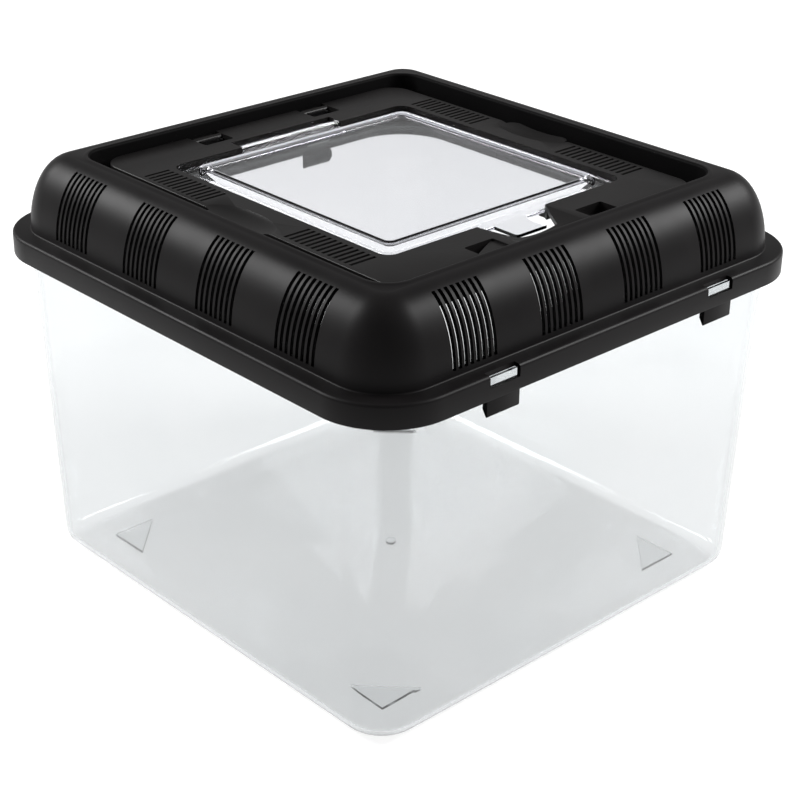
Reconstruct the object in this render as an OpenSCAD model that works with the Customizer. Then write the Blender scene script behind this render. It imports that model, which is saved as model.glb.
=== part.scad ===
// Small pet carrier: a clear tapered tub, a black clip-on lid frame with vented domed sides,
// a black hinged door panel in the lid and a clear hatch window hinged in that panel.
// X runs along the face with the snap hooks in front, Y to the back hinges, Z up.
// Z is 0 where the feet stand.

/* [Overall] */
// Width of the lid frame over its skirt
lid_w = 320; // [266:1:400]
// Depth of the lid frame over its skirt
lid_d = 327; // [270:1:400]
// Height of the tub to the top of its rim
tub_h = 198; // [120:1:280]
// Plan radius of the lid frame's corners
corner_r = 40; // [38:1:46]

/* [Tub] */
// Thickness of the tub's walls
tub_wall = 2.2; // [1.6:0.1:3]
// Thickness of the tub's floor
floor_t = 2.6; // [1.8:0.1:4]
// How far each wall leans in from the rim to the floor
tub_taper = 7; // [2:0.5:14]
// Plan radius of the tub's corners at the rim
tub_top_r = 30; // [20:1:34]
// Plan radius of the tub's corners at the floor
tub_base_r = 24; // [14:1:28]
// Fillet between the walls and the floor
floor_fillet = 9; // [4:0.5:12]
// Width of the rim that turns out from the wall at the sides
rim_side = 6.5; // [4:0.5:9]
// Thickness of the rim
rim_t = 2.4; // [1.8:0.1:3.5]
// Height of the rim's outer lip
lip_h = 6; // [4:0.5:8]
// Leg of each three-cornered foot
foot_leg = 27; // [15:1:40]
// Height of the feet
foot_h = 1.6; // [1:0.1:3]
// Distance from the tub's side to a foot's outer edge
foot_inset = 28; // [22:1:40]
// Diameter of the round mark in the middle of the floor
gate_d = 7; // [4:0.5:12]

/* [Lid frame] */
// Thickness of the lid frame's skin
skin = 2.2; // [1.8:0.1:3]
// Height of the outer skirt below the ledge's top
skirt_h = 13; // [10:0.5:16]
// Radius along the skirt's upper edge
ridge_r = 2; // [1:0.5:3]
// Width of the ledge at the foot of the dome
ledge_w = 10.2; // [8:0.2:14]
// Height of the dome above the ledge
dome_h = 41.3; // [32:0.1:50]
// Width of the dome's curved side
dome_w = 23.8; // [16:0.1:25]
// Width of the flat top between the dome and the opening
crown_w = 5.5; // [4:0.5:10]
// Plan radius of the opening's corners
opening_r = 14; // [10:1:20]
// Depth of the opening's wall, from the crown down to the seat
seat_drop = 16.3; // [15:0.1:20]
// How far the seat reaches in from the opening's wall
seat_w = 14; // [12:0.5:18]
// Slots in each vent group of the dome
slot_count = 8; // [4:1:10]
// Distance between slots of the dome
slot_pitch = 3.86; // [3:0.02:5]
// Width of a slot of the dome
slot_w = 1.9; // [1:0.1:2.4]
// Height of a slot's lower end above the ledge
slot_low = 3.3; // [2:0.1:8]
// Distance from a slot's upper end to the crown
slot_high = 2.9; // [2:0.1:8]

/* [Snap hooks] */
// Width of a snap hook
hook_w = 22; // [14:1:30]
// How far a hook hangs below the skirt
hook_drop = 9; // [6:0.5:14]
// Depth of a hook, from its face to its nose
hook_depth = 3.2; // [2.4:0.1:4]
// Width of the window above each hook
window_w = 20; // [12:1:28]
// Height of the window in the skirt
window_h = 6.3; // [4:0.1:8]
// Depth of the window in the ledge
window_depth = 4.4; // [3:0.1:6]

/* [Door panel] */
// Depth of the panel's top below the crown
panel_drop = 5.8; // [4:0.1:8]
// Thickness of the panel
panel_t = 3; // [2.2:0.1:4]
// Width of the open channel beside the panel
channel_w = 11; // [6:0.5:12]
// Width of the panel's side borders, from the edge to the hatch opening
side_border = 23.5; // [22:0.5:30]
// Width of the panel's front and back borders
end_border = 33.5; // [32:0.5:44]
// Plan radius of the hatch opening's corners
hatch_r = 7; // [4:0.5:12]
// Thickness of the skirts under the panel
panel_skirt_t = 2; // [1.6:0.1:3]
// Slots in each vent group of the panel
vent_count = 13; // [6:1:13]
// Distance between slots of the panel
vent_pitch = 4.1; // [3.4:0.1:4.2]
// Width of a slot of the panel
vent_w = 2; // [1:0.1:2.6]
// Length of a slot of the panel
vent_l = 16.5; // [8:0.5:17]
// Width of each notch in the panel's ends
notch_w = 20; // [16:1:26]
// Depth of each notch in the panel's ends
notch_d = 17.5; // [14:0.5:20]
// Distance of each notch from the middle
notch_x = 40; // [36:1:44]
// Width of the finger scoops in the panel's sides
scoop_w = 54; // [40:1:60]
// Depth of the finger scoops in plan
scoop_d = 13.5; // [8:0.5:16]
// Radius of a finger scoop's hollow
scoop_r = 60; // [50:1:80]
// Width of the dip and bay in the panel's front border
bay_w = 50; // [40:1:52]
// Depth of the dip below the panel's top
bay_drop = 4.5; // [3:0.1:5]

/* [Hatch window] */
// Thickness of the clear hatch
hatch_t = 1.8; // [1.4:0.1:2.4]
// Depth of the hatch's flange below the panel's top
flange_drop = 3.4; // [2:0.1:4]
// Width of the hatch's flange
flange_w = 8.4; // [6:0.2:11]
// Height of the hatch's bead above the panel's top
bead_rise = 0.8; // [0:0.1:3]
// Width of the bead
bead_w = 5; // [3:0.2:7]
// Depth of the pane below the bead
pane_drop = 1.2; // [0.6:0.1:2]
// Length of the hatch's hinge bar
bar_l = 72; // [50:1:80]
// Width of the finger tongue at the hatch's front
tongue_w = 23; // [14:1:26]
// Length of the finger tongue
tongue_l = 16; // [10:0.5:18]

/* [Hinges and clearances] */
// Radius of the door's hinge bars
door_pin_r = 2.2; // [1.8:0.1:2.2]
// Radius of the hatch's hinge pins
hatch_pin_r = 1.5; // [1.2:0.1:1.8]
// Running clearance round each hinge pin
pin_gap = 0.08; // [0.03:0.01:0.1]
// Wall of the clips round the door's hinge bars
clip_wall = 1.8; // [1.4:0.1:2]
// Distance from the panel's back edge to the door's axis
door_axis_in = 5; // [4.5:0.5:6]
// Distance from the hatch opening's edge back to the hatch's axis
hatch_axis_out = 2.5; // [2:0.1:3]
// Clearance under a part that rests on another
seat_gap = 0.3; // [0.1:0.1:0.6]
// Clearance between the tub's rim and the skirt at the sides
rim_gap = 0.5; // [0.3:0.1:1]
// Clearance between a hook's nose and the rim's lip
hook_gap = 0.4; // [0.2:0.1:0.8]
// Clearance between the panel and the opening, front and back
panel_gap = 3; // [2:0.1:4]
// Clearance round the hatch in its opening
hatch_gap = 0.6; // [0.3:0.1:1]
// Clearance behind the hatch, which its swing needs
swing_gap = 1.4; // [1.2:0.1:2]

/* [Hidden] */

$fn = 48;
eps = 0.01;
cut = 1;

// Heights
skirt_low = tub_h + seat_gap + skin - skirt_h;
ledge_top = skirt_low + skirt_h;
crown = ledge_top + dome_h;
seat_top = crown - seat_drop;
panel_top = crown - panel_drop;

// Lid frame in plan
straight_w = lid_w - 2 * corner_r;
straight_d = lid_d - 2 * corner_r;
frame_band = ledge_w + dome_w + crown_w;
opening_w = lid_w - 2 * frame_band;
opening_d = lid_d - 2 * frame_band;
group_pitch_x = straight_w / 4;
group_pitch_y = straight_d / 4;
hook_x = straight_w / 3;
hook_face = 0.8;

// Tub in plan: its rim stands inside the skirt, clear of the hooks' noses in front and behind
rim_w_outer = lid_w - 2 * (skin + rim_gap);
rim_d_outer = lid_d - 2 * (hook_face + hook_depth + hook_gap);
tub_top_w = rim_w_outer - 2 * rim_side;
tub_top_d = rim_d_outer - 2 * (rim_side - 1);
tub_base_w = tub_top_w - 2 * tub_taper;
tub_base_d = tub_top_d - 2 * tub_taper;

// Door panel in plan
panel_w = opening_w - 2 * channel_w;
panel_d = opening_d - 2 * panel_gap;
panel_r = opening_r;
hatch_w = panel_w - 2 * side_border;
hatch_d = panel_d - 2 * end_border;
door_axis_y = panel_d / 2 - door_axis_in;
door_axis_z = panel_top - door_pin_r;
skirt_bottom = seat_top + seat_gap;
rim_wall_t = 3;
rest_w = 4;
rest_t = 2;
rest_top = panel_top - flange_drop - hatch_t - seat_gap;
vent_margin = 4;
notch_low = seat_top - cut;

// Hatch
hatch_axis_y = hatch_d / 2 + hatch_axis_out;
hatch_axis_z = panel_top - hatch_pin_r - 0.7;
bar_r = 2.2;
bar_notch_w = bar_l + 1;
bar_notch_d = 10.5;
boss_l = 7;
pin_l = 4.5;
flange_top = panel_top - flange_drop;
flange_low = flange_top - hatch_t;
bead_top = panel_top + bead_rise;
pane_top = bead_top - pane_drop;
hatch_out_w = hatch_w - 2 * hatch_gap;
hatch_front = -hatch_d / 2 + hatch_gap;
hatch_back = hatch_d / 2 - swing_gap;
wall_w = hatch_out_w - 2 * flange_w;
wall_front = hatch_front + flange_w;
wall_back = hatch_back - flange_w;

// A rectangle with rounded corners, centred
module round_rect(w, d, r) {
    square([w - 2 * r, d], center = true);
    square([w, d - 2 * r], center = true);
    for (sx = [-1, 1], sy = [-1, 1])
        translate([sx * (w / 2 - r), sy * (d / 2 - r)])
            circle(r);
}

// An upright block with rounded corners between two heights
module round_block(w, d, r, low, high) {
    translate([0, 0, low])
        linear_extrude(high - low)
            round_rect(w, d, r);
}

// A thin layer of the tub's outline, as four discs to hull
module tub_layer(w, d, r, z) {
    for (sx = [-1, 1], sy = [-1, 1])
        translate([sx * (w / 2 - r), sy * (d / 2 - r), z])
            cylinder(h = eps, r = r, $fn = 32);
}

// The tapered body of the tub, inset by a wall's thickness; fillet rounds its lower edge
module tub_body(inset, low, high, fillet) {
    slope = 2 * tub_taper / tub_h;
    hull() {
        for (a = [0, 30, 60, 90]) {
            in = inset + fillet * (1 - sin(a));
            z = low + fillet * (1 - cos(a));
            tub_layer(tub_base_w + slope * z - 2 * in, tub_base_d + slope * z - 2 * in,
                tub_base_r - in, z);
        }
        tub_layer(tub_base_w + slope * high - 2 * inset, tub_base_d + slope * high - 2 * inset,
            tub_top_r - inset, high);
    }
}

// A three-cornered foot with its square corner outwards, from the floor's level down
module foot() {
    linear_extrude(foot_h + floor_t / 2)
        polygon([[0, 0], [-foot_leg, 0], [0, -foot_leg]]);
}

module tub() {
    color([0.86, 0.9, 0.92, 0.4])
    union() {
        difference() {
            union() {
                tub_body(0, foot_h, tub_h - rim_t, floor_fillet);
                round_block(rim_w_outer, rim_d_outer, tub_top_r + rim_side, tub_h - rim_t, tub_h);
                difference() {
                    round_block(rim_w_outer, rim_d_outer, tub_top_r + rim_side, tub_h - lip_h, tub_h);
                    round_block(rim_w_outer - 2 * tub_wall, rim_d_outer - 2 * tub_wall,
                        tub_top_r + rim_side - tub_wall, tub_h - lip_h - cut, tub_h + cut);
                }
            }
            tub_body(tub_wall, foot_h + floor_t, tub_h + cut, floor_fillet);
        }
        for (sx = [0, 1], sy = [0, 1])
            mirror([sx, 0, 0])
                mirror([0, sy, 0])
                    translate([tub_base_w / 2 - foot_inset, tub_base_d / 2 - foot_inset, 0])
                        foot();
        translate([0, 0, foot_h + floor_t / 2])
            cylinder(h = floor_t / 2 + 0.6, d = gate_d);
    }
}

// Half of a section through the lid frame, from a corner's axis out to the skirt.
// inset is 0 for the outer face and the skin's thickness for the hollow under it.
function dome_arc(inset, n = 8) = [
    for (i = [0:n])
        let (a = 90 * i / n)
            [corner_r - ledge_w - dome_w + (dome_w - inset) * cos(a),
             ledge_top + (dome_h - inset) * sin(a)]
];
function ridge_arc(n = 3) = [
    for (i = [0:n])
        let (a = 90 * i / n)
            [corner_r - ridge_r + ridge_r * cos(a), ledge_top - ridge_r + ridge_r * sin(a)]
];
outer_section = concat([[0, skirt_low], [corner_r, skirt_low]], ridge_arc(), dome_arc(0),
    [[0, crown]]);
inner_section = concat([[0, skirt_low - cut], [corner_r - skin, skirt_low - cut],
    [corner_r - skin, ledge_top - skin], [corner_r - ledge_w - skin, ledge_top - skin]],
    dome_arc(skin), [[0, crown - skin]]);

// A filled body with the given section round all four sides
module swept(section) {
    for (sx = [0, 1], sy = [0, 1])
        mirror([sx, 0, 0])
            mirror([0, sy, 0])
                translate([straight_w / 2, straight_d / 2, 0])
                    rotate_extrude(angle = 90)
                        polygon(section);
    for (side = [0, 1]) {
        mirror([side, 0, 0])
            translate([straight_w / 2, straight_d / 2, 0])
                rotate([90, 0, 0])
                    linear_extrude(straight_d)
                        polygon(section);
        mirror([0, side, 0])
            translate([-straight_w / 2, straight_d / 2, 0])
                rotate([90, 0, 90])
                    linear_extrude(straight_w)
                        polygon(section);
    }
    low = min([for (p = section) p[1]]);
    high = max([for (p = section) p[1]]);
    translate([-straight_w / 2, -straight_d / 2, low])
        cube([straight_w, straight_d, high - low]);
}

// The four vent groups of one side; the side's face is at x = face
module side_slots(face, group_pitch) {
    low = ledge_top + slot_low;
    high = crown - slot_high;
    for (group = [-1.5:1:1.5], i = [0:slot_count - 1])
        translate([face - ledge_w - dome_w + 2,
            group * group_pitch + (i - (slot_count - 1) / 2) * slot_pitch - slot_w / 2, low])
            cube([dome_w, slot_w, high - low]);
}

// A snap hook under the skirt at the front; its nose stops short of the rim's lip
module hook() {
    nose = lid_d / 2 - hook_face;
    translate([-hook_w / 2, 0, 0])
        rotate([90, 0, 90])
            linear_extrude(hook_w)
                polygon([[-nose, skirt_low + cut], [-nose, skirt_low - hook_drop + 1],
                    [-nose + 0.8, skirt_low - hook_drop], [-nose + hook_depth, skirt_low - hook_drop + 4],
                    [-nose + hook_depth, skirt_low - 1], [-nose + skin - hook_face, skirt_low],
                    [-nose + skin - hook_face, skirt_low + cut]]);
}

// A clip on the seat that holds one of the door's hinge bars; its mouth opens upwards
module hinge_clip() {
    clip_w = notch_w - 7;
    clip_r = door_pin_r + pin_gap + clip_wall;
    mouth = 1.6 * door_pin_r;
    translate([-clip_w / 2, door_axis_y, door_axis_z])
        difference() {
            union() {
                rotate([0, 90, 0])
                    cylinder(h = clip_w, r = clip_r);
                translate([0, -clip_r, seat_top - door_axis_z - skin / 2])
                    cube([clip_w, 2 * clip_r, door_axis_z - seat_top + skin / 2]);
            }
            translate([-cut, 0, 0])
                rotate([0, 90, 0])
                    cylinder(h = clip_w + 2 * cut, r = door_pin_r + pin_gap);
            translate([-cut, -mouth / 2, 0])
                cube([clip_w + 2 * cut, mouth, clip_r + cut]);
            translate([-cut, -clip_r - cut, door_pin_r * 0.55])
                cube([clip_w + 2 * cut, 2 * clip_r + 2 * cut, clip_r]);
        }
}

// A catch on the opening's front wall, inside one of the panel's front notches
module catch() {
    catch_w = 10;
    catch_l = 10;
    catch_t = 2.4;
    translate([0, -opening_d / 2 - skin / 2, panel_top - 3 - catch_t])
        cube([catch_w, catch_l + skin / 2, catch_t]);
}

module lid_frame() {
    color([0.1, 0.1, 0.105])
    difference() {
        union() {
            difference() {
                swept(outer_section);
                swept(inner_section);
            }
            round_block(opening_w + 2 * skin, opening_d + 2 * skin, opening_r + skin,
                seat_top - skin, crown - skin / 2);
            for (sx = [-1, 1], sy = [0, 1])
                mirror([0, sy, 0])
                    translate([sx * hook_x, 0, 0])
                        hook();
        }
        difference() {
            round_block(opening_w, opening_d, opening_r, seat_top - skin - cut, crown + cut);
            difference() {
                round_block(opening_w + cut, opening_d + cut, opening_r, seat_top - skin, seat_top);
                round_block(opening_w - 2 * seat_w, opening_d - 2 * seat_w, opening_r / 2,
                    seat_top - skin - cut, seat_top + cut);
            }
            for (sx = [-1, 1])
                translate([sx * notch_x, 0, 0])
                    hinge_clip();
            for (side = [0, 1])
                mirror([side, 0, 0])
                    translate([notch_x - notch_w / 2 + 2, 0, 0])
                        catch();
        }
        for (side = [0, 1]) {
            mirror([side, 0, 0])
                side_slots(lid_w / 2, group_pitch_y);
            mirror([0, side, 0])
                rotate([0, 0, 90])
                    side_slots(lid_d / 2, group_pitch_x);
        }
        for (sx = [-1, 1], sy = [0, 1])
            mirror([0, sy, 0])
                translate([sx * hook_x - window_w / 2, -lid_d / 2 - cut, ledge_top - window_h])
                    cube([window_w, window_depth + cut, window_h + cut]);
    }
}

// The two vent groups of the panel's right side
module panel_vents() {
    group_l = (vent_count - 1) * vent_pitch;
    first = hatch_d / 2 - vent_margin - group_l;
    middle = panel_w / 2 - 3 - vent_l / 2;
    for (sy = [-1, 1], i = [0:vent_count - 1])
        translate([middle - vent_l / 2, sy * (first + i * vent_pitch) - vent_w / 2,
            panel_top - panel_t - cut])
            cube([vent_l, vent_w, panel_t + 2 * cut]);
}

// The ball that hollows a finger scoop on the right; grow adds the skin under it
module scoop_ball(grow) {
    plan_r = (scoop_w * scoop_w / 4 + scoop_d * scoop_d) / (2 * scoop_d);
    rise = sqrt(scoop_r * scoop_r - plan_r * plan_r);
    translate([panel_w / 2 - scoop_d + plan_r, 0, panel_top + rise])
        sphere(scoop_r + grow, $fn = 96);
}

// The round dip across the panel's front border; grow adds the skin under it
module front_dip(grow, length) {
    dip_r = (bay_w * bay_w / 4 + bay_drop * bay_drop) / (2 * bay_drop);
    translate([0, -panel_d / 2 + length, panel_top - bay_drop + dip_r])
        rotate([90, 0, 0])
            cylinder(h = length + cut, r = dip_r + grow, $fn = 96);
}

module door_panel() {
    bay_back = hatch_d / 2;
    bay_front = panel_d / 2 - 15;
    color([0.13, 0.13, 0.135])
    difference() {
        union() {
            // plate
            round_block(panel_w, panel_d, panel_r, panel_top - panel_t, panel_top);
            // skirt round the sides and the front
            difference() {
                round_block(panel_w, panel_d, panel_r, skirt_bottom, panel_top);
                round_block(panel_w - 2 * panel_skirt_t, panel_d - 2 * panel_skirt_t,
                    panel_r - panel_skirt_t, skirt_bottom - cut, panel_top + cut);
                translate([-panel_w / 2 - cut, panel_d / 2 - 20, skirt_bottom - cut])
                    cube([panel_w + 2 * cut, 20 + cut, panel_top - panel_t - skirt_bottom + cut]);
            }
            // wall round the hatch opening, with the rest under the hatch's flange
            round_block(hatch_w + 2 * rim_wall_t, hatch_d + 2 * rim_wall_t, hatch_r + rim_wall_t,
                rest_top - rest_t, panel_top);
            // bosses for the hatch's pins
            for (side = [0, 1])
                mirror([side, 0, 0])
                    translate([bar_notch_w / 2, hatch_d / 2, rest_top - rest_t])
                        cube([boss_l, hatch_axis_out + hatch_pin_r + 2.2, panel_top - rest_top + rest_t]);
            // skin under the finger scoops
            for (side = [0, 1])
                mirror([side, 0, 0])
                    intersection() {
                        translate([panel_w / 2 - scoop_d, -scoop_w / 2, skirt_bottom])
                            cube([scoop_d, scoop_w, panel_top - skirt_bottom]);
                        scoop_ball(panel_t);
                    }
            // skin under the front dip
            intersection() {
                translate([-bay_w / 2, -panel_d / 2, skirt_bottom])
                    cube([bay_w, end_border - rim_wall_t, panel_top - skirt_bottom]);
                front_dip(panel_t - 0.6, end_border);
            }
        }
        // hatch opening above and inside the rest
        difference() {
            round_block(hatch_w, hatch_d, hatch_r, rest_top - rest_t - cut, panel_top + cut);
            difference() {
                round_block(hatch_w + cut, hatch_d + cut, hatch_r, rest_top - rest_t, rest_top);
                round_block(hatch_w - 2 * rest_w, hatch_d - 2 * rest_w, hatch_r - rest_w / 2,
                    rest_top - rest_t - cut, rest_top + cut);
            }
        }
        // long notch for the hatch's bar
        translate([-bar_notch_w / 2, hatch_d / 2 - cut, rest_top])
            cube([bar_notch_w, bar_notch_d + cut, panel_top - rest_top + cut]);
        // bores for the hatch's pins
        translate([-bar_notch_w / 2 - boss_l - cut, hatch_axis_y, hatch_axis_z])
            rotate([0, 90, 0])
                cylinder(h = bar_notch_w + 2 * boss_l + 2 * cut, r = hatch_pin_r + pin_gap);
        // four notches
        for (sx = [-1, 1], sy = [-1, 1])
            translate([sx * notch_x - notch_w / 2, sy > 0 ? panel_d / 2 - notch_d : -panel_d / 2 - cut,
                notch_low])
                cube([notch_w, notch_d + cut, panel_top - notch_low + cut]);
        // vents
        for (side = [0, 1])
            mirror([side, 0, 0])
                panel_vents();
        // finger scoops
        for (side = [0, 1])
            mirror([side, 0, 0])
                scoop_ball(0);
        // front dip, and the bay for the hatch's tongue
        front_dip(0, panel_d / 2 - hatch_d / 2 + cut);
        translate([0, 0, skirt_bottom])
            linear_extrude(panel_top - skirt_bottom + cut)
                polygon([[-bay_w / 2, -bay_back + rest_w + cut], [bay_w / 2, -bay_back + rest_w + cut],
                    [bay_w / 2, -bay_back], [bay_w / 4 + 2, -bay_front], [-bay_w / 4 - 2, -bay_front],
                    [-bay_w / 2, -bay_back]]);
    }
    // hinge bars across the back notches
    color([0.13, 0.13, 0.135])
    for (sx = [-1, 1])
        translate([sx * notch_x - notch_w / 2, door_axis_y, door_axis_z])
            rotate([0, 90, 0])
                cylinder(h = notch_w, r = door_pin_r);
}

// A centred block with rounded corners between two depths in Y
module hatch_block(w, front, back, r, low, high) {
    translate([0, (front + back) / 2, 0])
        round_block(w, back - front, r, low, high);
}

module hatch_window() {
    wall_r = max(hatch_r - 2, 2);
    tongue_z = flange_low;
    color([0.9, 0.92, 0.94, 0.4])
    union() {
        difference() {
            union() {
                hatch_block(hatch_out_w, hatch_front, hatch_back, hatch_r - hatch_gap,
                    flange_low, flange_top);
                hatch_block(wall_w, wall_front, wall_back, wall_r, flange_low, bead_top);
            }
            hatch_block(wall_w - 2 * hatch_t, wall_front + hatch_t, wall_back - hatch_t,
                wall_r - hatch_t / 2, flange_low - cut, pane_top - hatch_t);
            hatch_block(wall_w - 2 * bead_w, wall_front + bead_w, wall_back - bead_w,
                wall_r - hatch_t / 2, pane_top, bead_top + cut);
        }
        // hinge bar, its web and its pins
        translate([-bar_l / 2, hatch_axis_y, hatch_axis_z])
            rotate([0, 90, 0])
                cylinder(h = bar_l, r = bar_r);
        translate([-bar_l / 2, hatch_back - 2, flange_low])
            cube([bar_l, hatch_axis_y - hatch_back + 2, hatch_t]);
        translate([-bar_l / 2 - pin_l, hatch_axis_y, hatch_axis_z])
            rotate([0, 90, 0])
                cylinder(h = bar_l + 2 * pin_l, r = hatch_pin_r);
        // finger tongue
        translate([-tongue_w / 2, hatch_front - tongue_l, tongue_z])
            cube([tongue_w, tongue_l + 2, hatch_t]);
    }
}

tub();
lid_frame();
door_panel();
hatch_window();
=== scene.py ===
import bmesh
import math

import bpy
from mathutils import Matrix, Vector


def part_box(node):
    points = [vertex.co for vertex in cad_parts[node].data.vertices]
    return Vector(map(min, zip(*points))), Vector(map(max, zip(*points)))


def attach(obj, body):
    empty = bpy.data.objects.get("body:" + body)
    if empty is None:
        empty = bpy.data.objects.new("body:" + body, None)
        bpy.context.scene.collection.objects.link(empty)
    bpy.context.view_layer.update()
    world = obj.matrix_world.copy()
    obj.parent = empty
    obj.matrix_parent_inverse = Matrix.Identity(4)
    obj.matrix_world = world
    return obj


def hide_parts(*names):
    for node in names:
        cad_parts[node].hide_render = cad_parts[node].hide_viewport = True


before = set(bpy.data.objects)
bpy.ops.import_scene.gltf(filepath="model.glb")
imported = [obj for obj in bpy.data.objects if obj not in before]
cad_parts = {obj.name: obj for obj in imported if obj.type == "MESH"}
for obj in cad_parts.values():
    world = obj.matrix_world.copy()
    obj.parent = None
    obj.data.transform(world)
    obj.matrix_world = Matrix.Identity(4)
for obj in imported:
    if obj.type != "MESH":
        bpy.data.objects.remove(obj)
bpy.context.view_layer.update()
mm = 0.001
tiny = 0.02 * mm  # points nearer than this count as one
sliver = 0.01 * mm  # how far a cutter runs past a face it shares
print("frame loaded")


view = {
    "azimuth": math.radians(-43.015),
    "elevation": math.radians(26.388),
    "roll": math.radians(0.636),
    "aim": Vector((5.06, 0.0, 96.34)) * mm,
    "distance": 1068.8 * mm,
    "lens": 83.2,
    "sensor": 36,
    "nearest": 50 * mm,
}


def placeCamera():
    turn, rise = view["azimuth"], view["elevation"]
    level = math.cos(rise)
    back = Vector((math.sin(turn) * level, -math.cos(turn) * level, math.sin(rise)))
    right = (-back).cross(Vector((0, 0, 1))).normalized()
    up = back.cross(right)
    cosine, sine = math.cos(view["roll"]), math.sin(view["roll"])
    rolledRight = right * cosine + up * sine
    rolledUp = up * cosine - right * sine
    spot = view["aim"] + back * view["distance"]
    bpy.ops.object.camera_add(location=spot)
    camera = bpy.context.object
    camera.name = "camera"
    camera.data.lens = view["lens"]
    camera.data.sensor_width = view["sensor"]
    camera.data.clip_start = view["nearest"]
    matrix = camera.matrix_world.copy()
    for row in range(3):
        matrix[row][0] = rolledRight[row]
        matrix[row][1] = rolledUp[row]
        matrix[row][2] = back[row]
        matrix[row][3] = spot[row]
    camera.matrix_world = matrix
    bpy.context.scene.camera = camera


placeCamera()
print("camera placed")


studio = {
    "floorSize": 14.0,
    "floorDrop": 0.15 * mm,
    "floorTone": 0.28,
    "floorGlow": 0.86,
    "floorRough": 0.9,
    "floorGloss": 0.2,
    "worldTone": 0.40,
    "aim": (0, 0, 0.2),
    "lamps": {
        "leftLamp": {"spot": (-0.75, 1.15, 1.1), "size": 0.8, "power": 34.0},
        "rightLamp": {"spot": (1.15, -0.75, 1.15), "size": 0.8, "power": 38.0},
    },
}


def paperFloor():
    bpy.ops.object.select_all(action="DESELECT")
    spot = (0, 0, -studio["floorDrop"])
    bpy.ops.mesh.primitive_plane_add(size=studio["floorSize"], location=spot)
    floor = bpy.context.object
    floor.name = "floor"
    paper = bpy.data.materials.new("whitePaper")
    paper.use_nodes = True
    shader = paper.node_tree.nodes["Principled BSDF"]
    shader.inputs["Base Color"].default_value = (*[studio["floorTone"]] * 3, 1)
    shader.inputs["Roughness"].default_value = studio["floorRough"]
    shader.inputs["Specular IOR Level"].default_value = studio["floorGloss"]
    shader.inputs["Emission Color"].default_value = (1, 1, 1, 1)
    shader.inputs["Emission Strength"].default_value = studio["floorGlow"]  # a lit sheet of paper
    floor.data.materials.append(paper)


def makeStudio():
    paperFloor()
    aim = Vector(studio["aim"])
    for name, lamp in studio["lamps"].items():
        bpy.ops.object.light_add(type="AREA", location=lamp["spot"])
        light = bpy.context.object
        light.name = name
        light.data.shape = "SQUARE"
        light.data.size = lamp["size"]
        light.data.energy = lamp["power"]
        light.rotation_euler = (aim - light.location).to_track_quat("-Z", "Y").to_euler()
    world = bpy.data.worlds.new("studio")
    bpy.context.scene.world = world
    world.use_nodes = True
    sky = world.node_tree.nodes["Background"]
    sky.inputs["Color"].default_value = (1, 1, 1, 1)
    sky.inputs["Strength"].default_value = studio["worldTone"]
    bpy.context.scene.view_settings.view_transform = "Standard"


makeStudio()
print("studio lit")


def noiseOn(nodes, links, coords, scale, detail):
    noise = nodes.new("ShaderNodeTexNoise")
    noise.inputs["Scale"].default_value = scale
    noise.inputs["Detail"].default_value = detail
    links.new(coords.outputs["Object"], noise.inputs["Vector"])
    return noise


def plastic(name, look, cloudKind, grainKind):
    # one cloud of noise turns the colour and the roughness, and a finer noise gives the bump
    finish = bpy.data.materials.new(name)
    finish.use_nodes = True
    nodes, links = finish.node_tree.nodes, finish.node_tree.links
    shader = nodes["Principled BSDF"]
    shader.inputs["IOR"].default_value = look["ior"]
    coords = nodes.new("ShaderNodeTexCoord")
    cloud = noiseOn(nodes, links, coords, cloudKind["scale"], cloudKind["detail"])
    ramp = nodes.new("ShaderNodeValToRGB")
    dark, pale = ramp.color_ramp.elements
    dark.position, pale.position = cloudKind["colourSpan"]
    dark.color = (*look["dark"], 1)
    pale.color = (*look["pale"], 1)
    links.new(cloud.outputs["Fac"], ramp.inputs["Fac"])
    links.new(ramp.outputs["Color"], shader.inputs["Base Color"])
    rough = nodes.new("ShaderNodeMapRange")
    rough.inputs["From Min"].default_value = cloudKind["roughSpan"][0]
    rough.inputs["From Max"].default_value = cloudKind["roughSpan"][1]
    rough.inputs["To Min"].default_value = look["smooth"]
    rough.inputs["To Max"].default_value = look["rough"]
    links.new(cloud.outputs["Fac"], rough.inputs["Value"])
    links.new(rough.outputs["Result"], shader.inputs["Roughness"])
    grain = noiseOn(nodes, links, coords, grainKind["scale"], grainKind["detail"])
    bump = nodes.new("ShaderNodeBump")
    bump.inputs["Strength"].default_value = look["grain"]
    bump.inputs["Distance"].default_value = grainKind["height"]
    links.new(grain.outputs["Fac"], bump.inputs["Height"])
    links.new(bump.outputs["Normal"], shader.inputs["Normal"])
    return finish


def blackPlastic(name, look):
    cloudKind = {"scale": 28, "detail": 4, "colourSpan": (0.3, 0.7), "roughSpan": (0.3, 0.7)}
    grainKind = {"scale": look["grainScale"], "detail": 2, "height": 0.15 * mm}
    return plastic(name, look, cloudKind, grainKind)


def clearPlastic(name, look):
    cloudKind = {"scale": look["cloudScale"], "detail": 3,
                 "colourSpan": (0.35, 0.65), "roughSpan": (0, 1)}
    grainKind = {"scale": look["grainScale"], "detail": 1, "height": 0.5 * mm}
    finish = plastic(name, look, cloudKind, grainKind)
    nodes, links = finish.node_tree.nodes, finish.node_tree.links
    nodes["Principled BSDF"].inputs["Transmission Weight"].default_value = 1.0
    inside = nodes.new("ShaderNodeVolumeAbsorption")  # a thicker way through looks darker
    inside.inputs["Color"].default_value = (*look["inside"], 1)
    inside.inputs["Density"].default_value = look["density"]
    links.new(inside.outputs["Volume"], nodes["Material Output"].inputs["Volume"])
    return finish


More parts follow.
